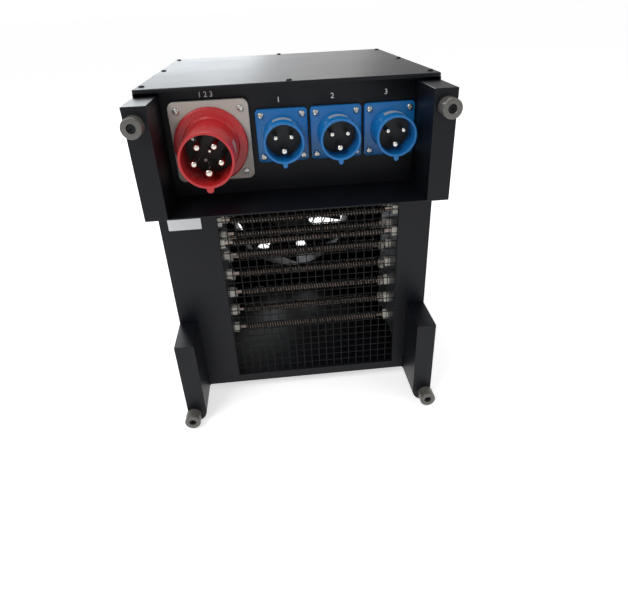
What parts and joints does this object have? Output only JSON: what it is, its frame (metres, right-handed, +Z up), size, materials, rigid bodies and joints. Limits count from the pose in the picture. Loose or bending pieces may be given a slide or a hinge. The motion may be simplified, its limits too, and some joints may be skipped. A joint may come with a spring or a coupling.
{
  "type": "generator load bank",
  "caption": "Portable load bank: box on corner posts with buffers, recessed red and blue round inlets over a shelf, wire heating bank behind a front mesh, fan at the rear.",
  "frame": {"origin": "on the floor under the middle of the object", "axes": "+X to the right as seen from the inlets, +Y from the inlets to the fan, +Z up"},
  "size_m": [0.413, 0.5906, 0.5092],
  "materials": {
    "powder_coat": "satin fine-texture powder coat",
    "buffer_grey": "satin",
    "black_steel": "black oxide",
    "zinc_steel": "zinc plated",
    "mesh_black": "semi-gloss",
    "galvanised": "galvanised",
    "steatite": "unglazed",
    "winding": "oxidised resistance wire on ceramic",
    "light_grey_plastic": "satin",
    "red_plastic": "glossy",
    "blue_plastic": "glossy",
    "carrier_black": "satin",
    "nickel_pins": "nickel plated",
    "seal_black": "matte",
    "cast_motor": "painted",
    "fan_black": "satin",
    "switch_grey": "satin",
    "knob_black": "satin"
  },
  "bodies": {
    "cabinet": {"buffer_screws": "black_steel", "cabinet_shell": "powder_coat", "connector_panel": "powder_coat", "deck": "powder_coat", "element_bushes": "steatite", "fan_guard": "mesh_black", "fan_ring": "galvanised", "fan_stator": "cast_motor", "five_pin_carrier": "carrier_black", "five_pin_collar": "red_plastic", "five_pin_flange": "light_grey_plastic", "five_pin_pins": "nickel_pins", "front_mesh": "mesh_black", "front_panel": "powder_coat", "heater_plate_left": "galvanised", "heater_plate_right": "galvanised", "heating_elements": "winding", "inlet_gaskets": "seal_black", "lid_rails": "powder_coat", "lid_screws": "black_steel", "lower_buffers": "buffer_grey", "lower_post_front_left": "powder_coat", "lower_post_front_right": "powder_coat", "lower_post_rear_left": "powder_coat", "lower_post_rear_right": "powder_coat", "rear_panel": "powder_coat", "switch_blocks": "switch_grey", "three_pin_carrier_l1": "carrier_black", "three_pin_carrier_l2": "carrier_black", "three_pin_carrier_l3": "carrier_black", "three_pin_housing_l1": "blue_plastic", "three_pin_housing_l2": "blue_plastic", "three_pin_housing_l3": "blue_plastic", "three_pin_pins_l1": "nickel_pins", "three_pin_pins_l2": "nickel_pins", "three_pin_pins_l3": "nickel_pins", "top_cover": "powder_coat", "upper_buffers": "buffer_grey", "upper_post_front_left": "powder_coat", "upper_post_front_right": "powder_coat", "upper_post_rear_left": "powder_coat", "upper_post_rear_right": "powder_coat"},
    "fan_rotor": {"fan_rotor": "fan_black"},
    "switch_l1": {"switch_knob_l1": "knob_black"},
    "switch_l2": {"switch_knob_l2": "knob_black"},
    "switch_l3": {"switch_knob_l3": "knob_black"}
  },
  "joints": [
    {"name": "fan_spin", "type": "hinge", "parent": "cabinet", "child": "fan_rotor", "pos_m": [0, 0.172, 0.188], "axis": [0, 1, 0], "continuous": true},
    {"name": "switch_turn_l1", "type": "hinge", "parent": "cabinet", "child": "switch_l1", "pos_m": [-0.08, 0.2, 0.44], "axis": [0, -1, 0], "range_deg": [0, 150]},
    {"name": "switch_turn_l2", "type": "hinge", "parent": "cabinet", "child": "switch_l2", "pos_m": [0, 0.2, 0.44], "axis": [0, -1, 0], "range_deg": [0, 150]},
    {"name": "switch_turn_l3", "type": "hinge", "parent": "cabinet", "child": "switch_l3", "pos_m": [0.08, 0.2, 0.44], "axis": [0, -1, 0], "range_deg": [0, 150]}
  ]
}
